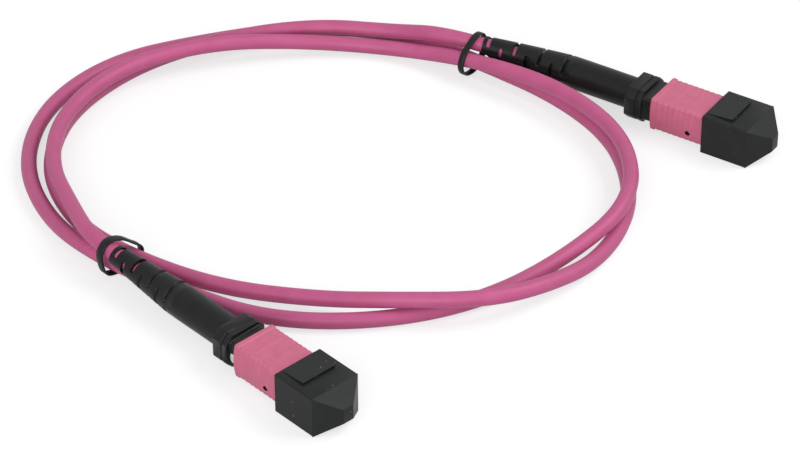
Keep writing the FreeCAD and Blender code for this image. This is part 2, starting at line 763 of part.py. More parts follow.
for end_name in ENDS:
    for piece_name, piece in connector(end_name).items():
        save(place(piece, end_name), piece_name + "_" + end_name)

centre_line = cable_path()
save(cable(centre_line), "cable")
for end_name in ENDS:
    save(tie(centre_line, end_name), "tie_" + end_name)
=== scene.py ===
import json
import math

import bmesh
import bpy
from mathutils import Matrix, Vector


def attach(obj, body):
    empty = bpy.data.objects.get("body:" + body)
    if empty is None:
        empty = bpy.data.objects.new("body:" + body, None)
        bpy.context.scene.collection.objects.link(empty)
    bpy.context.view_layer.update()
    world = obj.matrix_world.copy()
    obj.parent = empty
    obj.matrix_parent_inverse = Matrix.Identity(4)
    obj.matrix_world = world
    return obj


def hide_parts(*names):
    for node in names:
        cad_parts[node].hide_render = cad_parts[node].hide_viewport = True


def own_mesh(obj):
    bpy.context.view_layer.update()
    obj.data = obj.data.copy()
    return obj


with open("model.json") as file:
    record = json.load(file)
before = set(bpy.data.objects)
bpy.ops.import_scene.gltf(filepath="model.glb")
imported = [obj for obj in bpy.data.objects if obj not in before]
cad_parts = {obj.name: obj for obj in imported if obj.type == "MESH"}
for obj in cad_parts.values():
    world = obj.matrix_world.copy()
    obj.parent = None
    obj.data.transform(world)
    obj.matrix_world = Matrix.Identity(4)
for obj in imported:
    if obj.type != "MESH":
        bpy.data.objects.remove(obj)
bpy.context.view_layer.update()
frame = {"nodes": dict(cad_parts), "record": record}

# ------------------------------------------------------------------ camera
# A long lens looks down over the near connector along the coil, so that both
# plugs, both ties and both turns of the cable show.

view_from = Vector((0.4902, -0.4310, 0.5265))
tilt, heading, roll = (math.radians(degrees) for degrees in (54.0, 46.975, -0.15))
camera = bpy.data.objects.new("camera", bpy.data.cameras.new("camera"))
camera.data.lens = 164.457
camera.data.sensor_width = 36.0
camera.data.clip_start = 0.05
camera.data.clip_end = 20.0
camera.matrix_world = (Matrix.Translation(view_from) @ Matrix.Rotation(heading, 4, "Z")
                       @ Matrix.Rotation(tilt, 4, "X") @ Matrix.Rotation(roll, 4, "Z"))
bpy.context.collection.objects.link(camera)
bpy.context.scene.camera = camera

# ------------------------------------------------------------------- cable
# One round cable of four millimetres, a soft pink jacket drawn over yarn and
# twelve fibres. It leaves one boot, lies in two and a half turns and enters the other.

route = [
    # inside the first boot and straight out of its tip
    (-0.0370, 0.0000, 0.00545), (-0.0482, 0.0000, 0.00545),
    (-0.06256, -0.00061, 0.00651), (-0.0787, -0.0020, 0.00890),
    # two and a half loose turns, the lower strands on the floor
    (-0.0916, 0.0034, 0.00700), (-0.1118, 0.0118, 0.00660), (-0.1270, 0.0285, 0.00660),
    (-0.1330, 0.0525, 0.00660), (-0.1250, 0.0765, 0.00700), (-0.1130, 0.0975, 0.00370),
    (-0.0960, 0.1145, 0.00200), (-0.0710, 0.1220, 0.00640), (-0.0460, 0.1275, 0.00720),
    (-0.0200, 0.1230, 0.00740), (0.0005, 0.1040, 0.00800), (0.0012, 0.0785, 0.00340),
    (-0.0020, 0.0540, 0.00200), (-0.0130, 0.0310, 0.00200), (-0.0315, 0.0125, 0.00200),
    (-0.0540, 0.0050, 0.00200), (-0.0770, -0.0012, 0.00315), (-0.0990, 0.0005, 0.00200),
    (-0.1215, 0.0110, 0.00200), (-0.1375, 0.0310, 0.00200), (-0.1420, 0.0565, 0.00200),
    (-0.1325, 0.0810, 0.00200), (-0.1180, 0.1070, 0.00200), (-0.0970, 0.1220, 0.00200),
    (-0.0755, 0.1245, 0.00315), (-0.0500, 0.1295, 0.00200), (-0.0255, 0.1253, 0.00200),
    (-0.0047, 0.1097, 0.00200), (0.0063, 0.0870, 0.00200), (0.0075, 0.0645, 0.00600),
    (0.0025, 0.0500, 0.00720), (-0.0120, 0.0360, 0.00640), (-0.0280, 0.0260, 0.00300),
    (-0.0490, 0.0125, 0.00200), (-0.0730, 0.0040, 0.00315), (-0.0940, 0.0045, 0.00200),
    (-0.1155, 0.0135, 0.00200), (-0.1310, 0.0325, 0.00200), (-0.1350, 0.0575, 0.00300),
    (-0.1280, 0.0810, 0.00460), (-0.1155, 0.1035, 0.00480), (-0.0984, 0.1173, 0.00470),
    # into the second boot
    (-0.08565, 0.12086, 0.00872), (-0.06836, 0.13042, 0.00638),
    (-0.05370, 0.13617, 0.00545), (-0.04216, 0.13903, 0.00545),
]
CABLE_D = 0.004


def add(tree, kind, feeds=None, **settings):
    """A node with its settings; each feed is a value or another node's socket."""
    made = tree.nodes.new(kind)
    for name, value in settings.items():
        setattr(made, name, value)
    for name, value in (feeds or {}).items():
        if isinstance(value, bpy.types.NodeSocket):
            tree.links.new(value, made.inputs[name])
        else:
            made.inputs[name].default_value = value
    return made


def ramp(tree, fac, stops, interpolation="LINEAR"):
    """Colours along a factor, as (place, colour) stops."""
    made = add(tree, "ShaderNodeValToRGB", {"Fac": fac})
    made.color_ramp.interpolation = interpolation
    while len(made.color_ramp.elements) < len(stops):
        made.color_ramp.elements.new(1.0)
    for element, (place, colour) in zip(made.color_ramp.elements, stops):
        element.position = place
        element.color = (*colour, 1.0)
    return made.outputs["Color"]


# the stretch of a noise over which the tone changes, and how far the gloss swings with it
NOISE_LOW, NOISE_HIGH, GLOSS_SWING = 0.3, 0.7, 0.05


def plastic(name, dark, light, patch, roughness, grain, depth, specular=0.5):
    """A moulded or drawn surface: faint patches of tone and gloss, and a fine grain."""
    finish = bpy.data.materials.new(name)
    finish.use_nodes = True
    tree = finish.node_tree
    shader = tree.nodes["Principled BSDF"]
    shader.inputs["Specular IOR Level"].default_value = specular
    place = add(tree, "ShaderNodeTexCoord").outputs["Object"]
    patches = add(tree, "ShaderNodeTexNoise",
                  {"Vector": place, "Scale": 1 / patch, "Detail": 4.0, "Roughness": 0.6})
    tone = ramp(tree, patches.outputs["Fac"], [(NOISE_LOW, dark), (NOISE_HIGH, light)])
    tree.links.new(tone, shader.inputs["Base Color"])
    gloss = add(tree, "ShaderNodeMapRange",
                {"Value": patches.outputs["Fac"], "From Min": NOISE_LOW, "From Max": NOISE_HIGH,
                 "To Min": roughness - GLOSS_SWING, "To Max": roughness + GLOSS_SWING})
    tree.links.new(gloss.outputs["Result"], shader.inputs["Roughness"])
    fine = add(tree, "ShaderNodeTexNoise",
               {"Vector": place, "Scale": 1 / grain, "Detail": 2.0, "Roughness": 0.5})
    bump = add(tree, "ShaderNodeBump",
               {"Height": fine.outputs["Fac"], "Strength": 0.6, "Distance": depth})
    tree.links.new(bump.outputs["Normal"], shader.inputs["Normal"])
    return finish


jacket = plastic("drawn_pink_jacket", (0.455, 0.084, 0.205), (0.505, 0.100, 0.240),
                 patch=0.006, roughness=0.45, grain=0.0004, depth=0.00002, specular=0.3)

line = bpy.data.curves.new("cable", "CURVE")
line.dimensions = "3D"
spline = line.splines.new("NURBS")
spline.points.add(len(route) - 1)
for point, place in zip(spline.points, route):
    point.co = (*place, 1.0)
spline.order_u = 3
spline.use_endpoint_u = True
line.resolution_u = 12
line.bevel_depth = CABLE_D / 2
line.bevel_resolution = 6
line.use_fill_caps = True
line.materials.append(jacket)
cable = bpy.data.objects.new("jacketed_cable", line)
bpy.context.collection.objects.link(cable)
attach(cable, "cord")
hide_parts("cable")

# ------------------------------------------------- floor, backdrop and lamps
# A plain white table under two soft boxes in an even, bright room: the floor
# shows white and keeps the faint shadow that lies close under the cable.

FLOOR_HALF, FLOOR_DROP = 4.0, 0.0001
FLOOR_TONE, FLOOR_GLOW = (0.40, 0.40, 0.40, 1.0), 0.64
WHITE = (1.0, 1.0, 1.0, 1.0)
ROOM_LIGHT, ROOM_SHOWN = 0.45, 1.0
COIL_MIDDLE = (-0.06, 0.07, 0.0)

floor_mesh = bpy.data.meshes.new("floor")
floor_mesh.from_pydata([(x * FLOOR_HALF, y * FLOOR_HALF, -FLOOR_DROP)
                        for x, y in ((-1, -1), (1, -1), (1, 1), (-1, 1))], [], [(0, 1, 2, 3)])
floor = bpy.data.objects.new("floor", floor_mesh)
bpy.context.collection.objects.link(floor)


def result_of(tree, operation, first, second=0.0):
    """One step of arithmetic between two values or sockets."""
    return add(tree, "ShaderNodeMath", {0: first, 1: second}, operation=operation).outputs[0]


def seen(tree):
    """1 for the camera and for what gloss and glass show, 0 for the light itself."""
    rays = add(tree, "ShaderNodeLightPath").outputs
    shown = result_of(tree, "MAXIMUM", rays["Is Camera Ray"], rays["Is Glossy Ray"])
    return result_of(tree, "MAXIMUM", shown, rays["Is Transmission Ray"])


paper = bpy.data.materials.new("white_table")
paper.use_nodes = True
tree = paper.node_tree
tree.nodes.remove(tree.nodes["Principled BSDF"])
lit = add(tree, "ShaderNodeBsdfDiffuse", {"Color": FLOOR_TONE})
glow = add(tree, "ShaderNodeEmission",
           {"Color": WHITE, "Strength": result_of(tree, "MULTIPLY", seen(tree), FLOOR_GLOW)})
both = add(tree, "ShaderNodeAddShader", {0: lit.outputs[0], 1: glow.outputs[0]})
tree.links.new(both.outputs[0], tree.nodes["Material Output"].inputs["Surface"])
floor_mesh.materials.append(paper)

room = bpy.data.worlds.new("bright_room")
room.use_nodes = True
tree = room.node_tree
room_light = add(tree, "ShaderNodeBackground", {"Color": WHITE, "Strength": ROOM_LIGHT})
white_wall = add(tree, "ShaderNodeBackground", {"Color": WHITE, "Strength": ROOM_SHOWN})
walls = add(tree, "ShaderNodeMixShader",
            {"Fac": seen(tree), 1: room_light.outputs[0], 2: white_wall.outputs[0]})
tree.links.new(walls.outputs[0], tree.nodes["World Output"].inputs["Surface"])
bpy.context.scene.world = room


def soft_box(name, place, aim, size, watts):
    """A square lamp that faces a point."""
    lamp = bpy.data.objects.new(name, bpy.data.lights.new(name, "AREA"))
    lamp.data.size = size
    lamp.data.energy = watts
    lamp.location = place
    lamp.rotation_euler = (Vector(aim) - Vector(place)).to_track_quat("-Z", "Y").to_euler()
    bpy.context.collection.objects.link(lamp)


soft_box("soft_box_back", (0.40, 0.62, 0.80), COIL_MIDDLE, size=0.6, watts=5.5)
soft_box("soft_box_front", (0.50, -0.85, 0.50), COIL_MIDDLE, size=0.9, watts=9.5)
bpy.context.scene.view_settings.view_transform = "Standard"

# -------------------------------------------------- rear bodies and crimps
# The black moulded body at the back of each plug: an eight-sided collar, and a
# neck that the sleeve slides over. A brass ring crimps the cable's yarns behind it.

ENDS = ("a", "b")
FERRULE_REACH = 0.0102          # from the dust cap's back rim to the ferrule's face

# each plug's own frame: origin at the cap's back rim on the fibres' axis, x to the mate
seat = {}
for mount in frame["record"]["mounts"]:
    if mount["name"].startswith("plug_"):
        ahead = Vector(mount["axis"]).normalized()
        turn = Matrix.Rotation(math.atan2(ahead.y, ahead.x), 4, "Z")
        start = Vector(mount["pos_m"]) - ahead * FERRULE_REACH
        seat[mount["name"][-1]] = Matrix.Translation(start) @ turn

SAME_POINT, SLIVER = 0.000002, 0.000001
SHARP = math.radians(32)        # a steeper edge than this is a real one


def finish_part(node, body, finish, edge=0.0, clamp=True):
    """The solid's own shape with its corners joined, shaded round, its edges eased."""
    mesh = frame["nodes"][node].data.copy()
    work = bmesh.new()
    work.from_mesh(mesh)
    bmesh.ops.remove_doubles(work, verts=work.verts, dist=SAME_POINT)
    bmesh.ops.dissolve_degenerate(work, edges=work.edges, dist=SLIVER)
    work.to_mesh(mesh)
    work.free()
    mesh.shade_smooth()
    mesh.set_sharp_from_angle(angle=SHARP)
    mesh.materials.clear()
    mesh.materials.append(finish)
    piece = bpy.data.objects.new("finished_" + node, mesh)
    bpy.context.collection.objects.link(piece)
    if edge:
        ease = piece.modifiers.new("eased edges", "BEVEL")
        ease.width = edge
        ease.segments = 2
        ease.use_clamp_overlap = clamp
        ease.limit_method = "ANGLE"
        ease.angle_limit = SHARP
        ease.harden_normals = True
    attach(piece, body)
    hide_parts(node)
    return piece


black_satin = plastic("black_satin_moulding", (0.009, 0.009, 0.010), (0.012, 0.012, 0.013),
                      patch=0.004, roughness=0.38, grain=0.00025, depth=0.00001, specular=0.17)
brass = plastic("crimped_brass", (0.60, 0.42, 0.17), (0.74, 0.56, 0.28),
                patch=0.002, roughness=0.32, grain=0.0005, depth=0.00004)
brass.node_tree.nodes["Principled BSDF"].inputs["Metallic"].default_value = 1.0
for end in ENDS:
    finish_part("rear_body_" + end, "cord", black_satin, edge=0.0003,
                clamp=False)
    finish_part("crimp_ring_" + end, "cord", brass)

# a dot of white ink on the neck marks the first fibre's side
DOT_W, DOT_H, DOT_RISE = 0.0015, 0.0026, 0.00006
DOT_AT = {"a": (-0.0174, -0.00485, -0.0010), "b": (-0.0174, 0.00485, -0.0010)}
DOT_RINGS = ((1.00, -0.2), (0.97, 0.5), (0.85, 0.85), (0.55, 1.0))      # (of its size, of its rise)
DOT_SIDES = 32
white_ink = plastic("white_ink", (0.62, 0.63, 0.64), (0.74, 0.75, 0.76),
                    patch=0.0006, roughness=0.45, grain=0.0001, depth=0.000008)


def ink_dot(end):
    """A thin domed oval on the neck's side."""
    x, y, z = DOT_AT[end]
    outward = math.copysign(1.0, y)
    points, faces = [], []
    for reach, rise in DOT_RINGS:
        for i in range(DOT_SIDES):
            angle = -outward * 2 * math.pi * i / DOT_SIDES
            points.append((x + reach * DOT_W / 2 * math.cos(angle), y + outward * rise * DOT_RISE,
                           z + reach * DOT_H / 2 * math.sin(angle)))
    for ring in range(len(DOT_RINGS) - 1):
        for i in range(DOT_SIDES):
            j = (i + 1) % DOT_SIDES
            low, high = ring * DOT_SIDES, (ring + 1) * DOT_SIDES
            faces.append((low + i, low + j, high + j, high + i))
    faces.append(tuple(range((len(DOT_RINGS) - 1) * DOT_SIDES, len(DOT_RINGS) * DOT_SIDES)))
    faces.append(tuple(reversed(range(DOT_SIDES))))
    mesh = bpy.data.meshes.new("ink_dot_" + end)
    mesh.from_pydata(points, [], faces)
    mesh.transform(seat[end])
    mesh.shade_smooth()
    mesh.materials.append(white_ink)
    dot = bpy.data.objects.new("ink_dot_" + end, mesh)
    bpy.context.collection.objects.link(dot)
    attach(dot, "cord")


for end in ENDS:
    ink_dot(end)

# ------------------------------------------------------------------- boots
# The soft black boot that keeps the cable from kinking: thick and plain at the
# collar, then tapered and cut by cross slots so that it bends as the cable does.

boot_rubber = plastic("satin_boot_rubber", (0.0060, 0.0065, 0.0063), (0.0085, 0.0092, 0.0090),
                      patch=0.005, roughness=0.42, grain=0.0003, depth=0.00001, specular=0.18)
for end in ENDS:
    finish_part("boot_" + end, "cord", boot_rubber)

# ------------------------------------- housings, ferrules and their springs
# Inside each cap: the black housing with its key, the resin ferrule that holds
# twelve fibres between two guide holes, and the steel springs behind it.

resin = plastic("filled_resin", (0.020, 0.020, 0.021), (0.034, 0.034, 0.035),
                patch=0.0008, roughness=0.35, grain=0.00008, depth=0.000006)
steel = plastic("drawn_steel", (0.50, 0.50, 0.51), (0.60, 0.60, 0.61),
                patch=0.002, roughness=0.28, grain=0.0003, depth=0.000008)
steel.node_tree.nodes["Principled BSDF"].inputs["Metallic"].default_value = 1.0
soft_sleeve = plastic("soft_black_sleeve", (0.012, 0.012, 0.012), (0.018, 0.018, 0.018),
                      patch=0.002, roughness=0.6, grain=0.0002, depth=0.00002)
for end in ENDS:
    finish_part("inner_housing_" + end, "cord", black_satin, edge=0.0001)
    finish_part("ferrule_" + end, "ferrule_unit_" + end, resin, edge=0.00005)
    finish_part("pin_keeper_" + end, "ferrule_unit_" + end, steel, edge=0.00008)
    finish_part("ferrule_boot_" + end, "ferrule_unit_" + end, soft_sleeve,
                edge=0.00008)


def new_tree(name, inputs):
    """A geometry tree with named inputs; returns it and its inputs' sockets."""
    made = bpy.data.node_groups.new(name, "GeometryNodeTree")
    for label, kind in inputs:
        made.interface.new_socket(label, in_out="INPUT", socket_type=kind)
    made.interface.new_socket("Geometry", in_out="OUTPUT", socket_type="NodeSocketGeometry")
    return made, made.nodes.new("NodeGroupInput").outputs


def grown(tree, name, values, place):
    """The tree's result as a plain mesh, carried to its place."""
    holder = bpy.data.objects.new(name, bpy.data.meshes.new(name))
    bpy.context.collection.objects.link(holder)
    maker = holder.modifiers.new(name, "NODES")
    maker.node_group = tree
    for item in tree.interface.items_tree:
        if item.in_out == "INPUT":
            maker[item.identifier] = values[item.name]
    ready = holder.evaluated_get(bpy.context.evaluated_depsgraph_get())
    mesh = bpy.data.meshes.new_from_object(ready)
    bpy.data.objects.remove(holder)
    mesh.transform(place)
    piece = bpy.data.objects.new(name, mesh)
    bpy.context.collection.objects.link(piece)
    return piece


# a coil along x with its end turns closed up: a helix of wire with a round section
CLOSE_UP, TURN_STEPS, WIRE_SIDES = 0.72, 28, 10
coil_tree, given = new_tree("wire_coil", [
    ("Turns", "NodeSocketFloat"), ("Wire", "NodeSocketFloat"), ("Width", "NodeSocketFloat"),
    ("Height", "NodeSocketFloat"), ("Length", "NodeSocketFloat"), ("Finish", "NodeSocketMaterial")])
helix = add(coil_tree, "GeometryNodeCurveSpiral",
            {"Resolution": TURN_STEPS, "Rotations": given["Turns"], "Start Radius": 0.5,
             "End Radius": 0.5, "Height": 1.0})
along = add(coil_tree, "GeometryNodeSplineParameter").outputs["Factor"]
wave = result_of(coil_tree, "SINE", result_of(coil_tree, "MULTIPLY", along, 2 * math.pi))
eased = result_of(coil_tree, "SUBTRACT", along,
                  result_of(coil_tree, "MULTIPLY", wave, CLOSE_UP / (2 * math.pi)))
corner = add(coil_tree, "ShaderNodeSeparateXYZ",
             {"Vector": add(coil_tree, "GeometryNodeInputPosition").outputs[0]})
inside = {label: result_of(coil_tree, "SUBTRACT", given[label], given["Wire"])
          for label in ("Width", "Height", "Length")}
spot = add(coil_tree, "ShaderNodeCombineXYZ",
           {"X": result_of(coil_tree, "MULTIPLY", eased, inside["Length"]),
            "Y": result_of(coil_tree, "MULTIPLY", corner.outputs["X"], inside["Width"]),
            "Z": result_of(coil_tree, "MULTIPLY", corner.outputs["Y"], inside["Height"])})
laid = add(coil_tree, "GeometryNodeSetPosition",
           {"Geometry": helix.outputs["Curve"], "Position": spot.outputs[0]})
section = add(coil_tree, "GeometryNodeCurvePrimitiveCircle",
              {"Resolution": WIRE_SIDES,
               "Radius": result_of(coil_tree, "MULTIPLY", given["Wire"], 0.5)})
wire = add(coil_tree, "GeometryNodeCurveToMesh",
           {"Curve": laid.outputs[0], "Profile Curve": section.outputs["Curve"], "Fill Caps": True})
whole = add(coil_tree, "GeometryNodeRealizeInstances", {"Geometry": wire.outputs["Mesh"]})
smooth = add(coil_tree, "GeometryNodeSetShadeSmooth", {"Geometry": whole.outputs[0]})
coated = add(coil_tree, "GeometryNodeSetMaterial",
             {"Geometry": smooth.outputs[0], "Material": given["Finish"]})
add(coil_tree, "NodeGroupOutput", {"Geometry": coated.outputs[0]})

MAIN_SPRING = {"Turns": 6.5, "Wire": 0.0007, "Width": 0.0072, "Height": 0.0044, "Length": 0.0086,
               "Finish": steel}
SIDE_SPRING = {"Turns": 13.0, "Wire": 0.00025, "Width": 0.0011, "Height": 0.0011,
               "Length": 0.0066, "Finish": steel}
MAIN_BACK, MAIN_TRAVEL = -0.0080, 0.0008
SIDE_BACK, SIDE_TRAVEL = -0.0102, 0.0020
SIDE_Y = 0.00485


def fit_spring(name, node, sizes, end, back, across):
    """One spring in its way: its back end stays at the given place."""
    spring = grown(coil_tree, name, sizes,
                   seat[end] @ Matrix.Translation((back + sizes["Wire"] / 2, across, 0)))
    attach(spring, "cord")
    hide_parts(node)
    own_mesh(spring)


for end in ENDS:
    fit_spring("oval_spring_" + end, "ferrule_spring_" + end, MAIN_SPRING, end,
               MAIN_BACK, 0.0)
    for side, sign in (("left", 1), ("right", -1)):
        fit_spring(f"side_spring_{side}_{end}", f"coupling_spring_{side}_{end}", SIDE_SPRING, end,
                   SIDE_BACK, sign * SIDE_Y)

# --------------------------------------------------------- fibres and ribbon
# Twelve coated fibres lie side by side in a flat ribbon, in the twelve standard
# colours, and end bare and polished in a row across the ferrule's face.

FIBRES, FIBRE_PITCH, BARE_D, FIBRE_SIDES = 12, 0.00025, 0.000125, 14
FIBRE_COLOURS = [(0.01, 0.08, 0.55), (0.85, 0.22, 0.01), (0.01, 0.30, 0.05), (0.16, 0.06, 0.02),
                 (0.22, 0.24, 0.26), (0.80, 0.80, 0.80), (0.60, 0.01, 0.01), (0.02, 0.02, 0.02),
                 (0.85, 0.65, 0.02), (0.22, 0.03, 0.35), (0.80, 0.25, 0.35), (0.05, 0.55, 0.60)]
coating = plastic("fibre_coating", (0.5, 0.5, 0.5), (0.6, 0.6, 0.6),
                  patch=0.002, roughness=0.35, grain=0.0002, depth=0.000004)
tree = coating.node_tree
count = add(tree, "ShaderNodeAttribute", attribute_name="fibre")
tree.links.new(ramp(tree, count.outputs["Fac"],
                    [(i / FIBRES, colour) for i, colour in enumerate(FIBRE_COLOURS)], "CONSTANT"),
               tree.nodes["Principled BSDF"].inputs["Base Color"])
glass = plastic("polished_fibre_ends", (0.55, 0.60, 0.62), (0.70, 0.74, 0.76),
                patch=0.0002, roughness=0.15, grain=0.00005, depth=0.000001)

row_tree, given = new_tree("fibre_row", [
    ("Count", "NodeSocketInt"), ("Pitch", "NodeSocketFloat"), ("Diameter", "NodeSocketFloat"),
    ("Length", "NodeSocketFloat"), ("Finish", "NodeSocketMaterial")])
step = add(row_tree, "ShaderNodeCombineXYZ", {"Y": given["Pitch"]})
gaps = result_of(row_tree, "SUBTRACT", given["Count"], 1.0)
row_width = result_of(row_tree, "MULTIPLY", given["Pitch"], gaps)
first = add(row_tree, "ShaderNodeCombineXYZ",
            {"Y": result_of(row_tree, "MULTIPLY", row_width, -0.5)})
row = add(row_tree, "GeometryNodeMeshLine",
          {"Count": given["Count"], "Start Location": first.outputs[0], "Offset": step.outputs[0]})
strand = add(row_tree, "GeometryNodeMeshCylinder",
             {"Vertices": FIBRE_SIDES, "Depth": given["Length"],
              "Radius": result_of(row_tree, "MULTIPLY", given["Diameter"], 0.5)})
strands = add(row_tree, "GeometryNodeInstanceOnPoints",
              {"Points": row.outputs[0], "Instance": strand.outputs["Mesh"],
               "Rotation": (0.0, math.pi / 2, 0.0)})
place_in_row = result_of(row_tree, "ADD", add(row_tree, "GeometryNodeInputIndex").outputs[0], 0.5)
number = result_of(row_tree, "DIVIDE", place_in_row, given["Count"])
marked = add(row_tree, "GeometryNodeStoreNamedAttribute",
             {"Geometry": strands.outputs[0], "Name": "fibre", "Value": number}, domain="INSTANCE")
whole = add(row_tree, "GeometryNodeRealizeInstances", {"Geometry": marked.outputs[0]})
coated = add(row_tree, "GeometryNodeSetMaterial",
             {"Geometry": whole.outputs[0], "Material": given["Finish"]})
add(row_tree, "NodeGroupOutput", {"Geometry": coated.outputs[0]})

RIBBON_BACK, RIBBON_FRONT = -0.0299, 0.0022
END_PROUD = 0.00001
for end in ENDS:
    middle = seat[end] @ Matrix.Translation(((RIBBON_BACK + RIBBON_FRONT) / 2, 0, 0))
    ribbon = grown(row_tree, "fibre_ribbon_strands_" + end,
                   {"Count": FIBRES, "Pitch": FIBRE_PITCH, "Diameter": FIBRE_PITCH,
                    "Length": RIBBON_FRONT - RIBBON_BACK, "Finish": coating}, middle)
    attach(ribbon, "ferrule_unit_" + end)
    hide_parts("fibre_ribbon_" + end)
    face = seat[end] @ Matrix.Translation((FERRULE_REACH, 0, 0))
    ends_row = grown(row_tree, "fibre_ends_" + end,
                     {"Count": FIBRES, "Pitch": FIBRE_PITCH, "Diameter": BARE_D,
                      "Length": 2 * END_PROUD, "Finish": glass}, face)
    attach(ends_row, "ferrule_unit_" + end)

# ---------------------------------------------------------- coupling sleeves
# The pink sleeve that a hand pulls back to let the plug go: a stiff moulding with
# bulging ribbed sides, a raised rear rim and a small hole on one side.

SLEEVE_BACK, SLEEVE_FRONT = -0.0154, 0.0008
SLEEVE_HALF_W, SLEEVE_HALF_H = 0.00595, 0.0047
SIDE_BULGE = 0.00045
TOP_CORNER, LOW_CORNER = 0.0006, 0.0009
BACK_EASE = ((0.0, 0.00030), (0.00008, 0.00014), (0.00025, 0.0))    # (from the back, drawn in)
FRONT_EASE = 0.0001
RIM_FRONT, RIM_STEP, RIM_WALL = -0.0142, 0.00026, 0.00004
FIRST_RIB, RIB_PITCH, RIB_COUNT, RIB_DEPTH = -0.0139, 0.00158, 8, 0.00009
RIB_STEPS, RIB_RUN_OUT = 12, 0.0009
PANEL_BACK, PANEL_FRONT, PANEL_HALF_W, PANEL_SINK = -0.0096, -0.0061, 0.0048, 0.00012
PANEL_SLOPE, PANEL_SIDE_SLOPE = 0.0002, 0.0003
BASE_STEPS, CORNER_STEPS, SIDE_STEPS, TOP_STEPS = 14, 6, 14, 22
BORE_W, BORE_H, BORE_EDGE = 0.00994, 0.00694, 0.0004
SPRING_WAY_D, SPRING_WAY = 0.00126, (-0.0125, -0.0036)
PEEP_D, PEEP_X, PEEP_Z = 0.0014, -0.0044, -0.0017


def step_up(value, start, end):
    """0 before start, 1 after end, and a soft S between them."""
    share = min(max((value - start) / (end - start), 0.0), 1.0)
    return share * share * (3 - 2 * share)


def rib_valley(x):
    """How deep the valleys between the grip ribs are at a place along the sleeve."""
    turn = (x - FIRST_RIB) / RIB_PITCH
    outside = max(-turn, turn - RIB_COUNT, 0.0) * RIB_PITCH
    if outside:
        return RIB_DEPTH * max(0.0, 1 - outside / (RIB_PITCH / 4))
    return RIB_DEPTH * (0.5 + 0.5 * math.cos(2 * math.pi * turn)) ** 2


def panel_sink(x, y):
    """How deep the flat panel lies in the sleeve's top, with a slope all round it."""
    return PANEL_SINK * (step_up(x, PANEL_BACK - PANEL_SLOPE, PANEL_BACK)
                         * (1 - step_up(x, PANEL_FRONT, PANEL_FRONT + PANEL_SLOPE))
                         * (1 - step_up(y, PANEL_HALF_W - PANEL_SIDE_SLOPE, PANEL_HALF_W)))


def corner_arc(y, z, radius, from_degrees):
    """A quarter turn about a point."""
    turns = [math.radians(from_degrees + 90 * i / CORNER_STEPS) for i in range(CORNER_STEPS + 1)]
    return [(y + radius * math.cos(turn), z + radius * math.sin(turn)) for turn in turns]


def sleeve_section(x, drawn_in):
    """The sleeve's outline at one place along it, as points round the fibres' axis."""
    past_rim = RIM_STEP if x > RIM_FRONT else 0.0       # the sides step in by a quarter of it
    half_w = SLEEVE_HALF_W - drawn_in - past_rim / 4
    half_h = SLEEVE_HALF_H - drawn_in - past_rim
    low, high = -half_h + LOW_CORNER, half_h - TOP_CORNER
    top_flat = half_w - TOP_CORNER
    half = [(i * (half_w - LOW_CORNER) / BASE_STEPS, -half_h) for i in range(BASE_STEPS)]
    half += corner_arc(half_w - LOW_CORNER, low, LOW_CORNER, -90)
    for share in (i / SIDE_STEPS for i in range(1, SIDE_STEPS)):
        half.append((half_w + 4 * SIDE_BULGE * share * (1 - share), low + share * (high - low)))
    half += corner_arc(top_flat, high, TOP_CORNER, 0)
    half += [(top_flat * (1 - i / TOP_STEPS), half_h) for i in range(1, TOP_STEPS + 1)]
    shaped = []
    for y, z in half:
        valley = rib_valley(x) * step_up(y, top_flat - RIB_RUN_OUT, top_flat)
        sunk = panel_sink(x, y) if z > half_h - TOP_CORNER / 4 else 0.0
        shaped.append((y - valley, z - valley * (z / half_h) ** 3 - sunk))
    return shaped + [(-y, z) for y, z in reversed(shaped[1:-1])]


def skin(name, sections):
    """A closed bar through sections, each a place along x and its outline."""
    points = [(x, y, z) for x, outline in sections for y, z in outline]
    size = len(sections[0][1])
    faces = [tuple(reversed(range(size)))]
    for ring in range(len(sections) - 1):
        for i in range(size):
            j = (i + 1) % size
            faces.append((ring * size + i, ring * size + j,
                          (ring + 1) * size + j, (ring + 1) * size + i))
    faces.append(tuple(range((len(sections) - 1) * size, len(sections) * size)))
    mesh = bpy.data.meshes.new(name)
    mesh.from_pydata(points, [], faces)
    made = bpy.data.objects.new(name, mesh)
    bpy.context.collection.objects.link(made)
    return made


HOLE_SIDES, BORE_CORNER_STEPS = 40, 4
CUT_PAST = 0.001                # how far a cutter stands out of what it cuts


def round_outline(diameter, y=0.0):
    """A circle whose middle lies on the level of the fibres."""
    turns = [2 * math.pi * i / HOLE_SIDES for i in range(HOLE_SIDES)]
    return [(y + diameter / 2 * math.cos(turn), diameter / 2 * math.sin(turn)) for turn in turns]


def soft_box_outline(width, height, corner):
    """A rectangle with round corners."""
    outline = []
    for quarter, (side, top) in enumerate(((1, 1), (-1, 1), (-1, -1), (1, -1))):
        for i in range(BORE_CORNER_STEPS + 1):
            angle = math.radians(90 * quarter + 90 * i / BORE_CORNER_STEPS)
            outline.append((side * (width / 2 - corner) + corner * math.cos(angle),
                            top * (height / 2 - corner) + corner * math.sin(angle)))
    return outline


def cut_away(piece, cutters):
    """The piece's mesh with the cutters taken out of it."""
    for cutter in cutters:
        cut = piece.modifiers.new(cutter.name, "BOOLEAN")
        cut.operation = "DIFFERENCE"
        cut.solver = "EXACT"
        cut.object = cutter
    ready = piece.evaluated_get(bpy.context.evaluated_depsgraph_get())
    mesh = bpy.data.meshes.new_from_object(ready)
    for used in [piece, *cutters]:
        bpy.data.objects.remove(used)
    return mesh


sleeve_pink = plastic("pink_sleeve_moulding", (0.52, 0.125, 0.205), (0.58, 0.145, 0.240),
                      patch=0.003, roughness=0.5, grain=0.0003, depth=0.00002, specular=0.3)
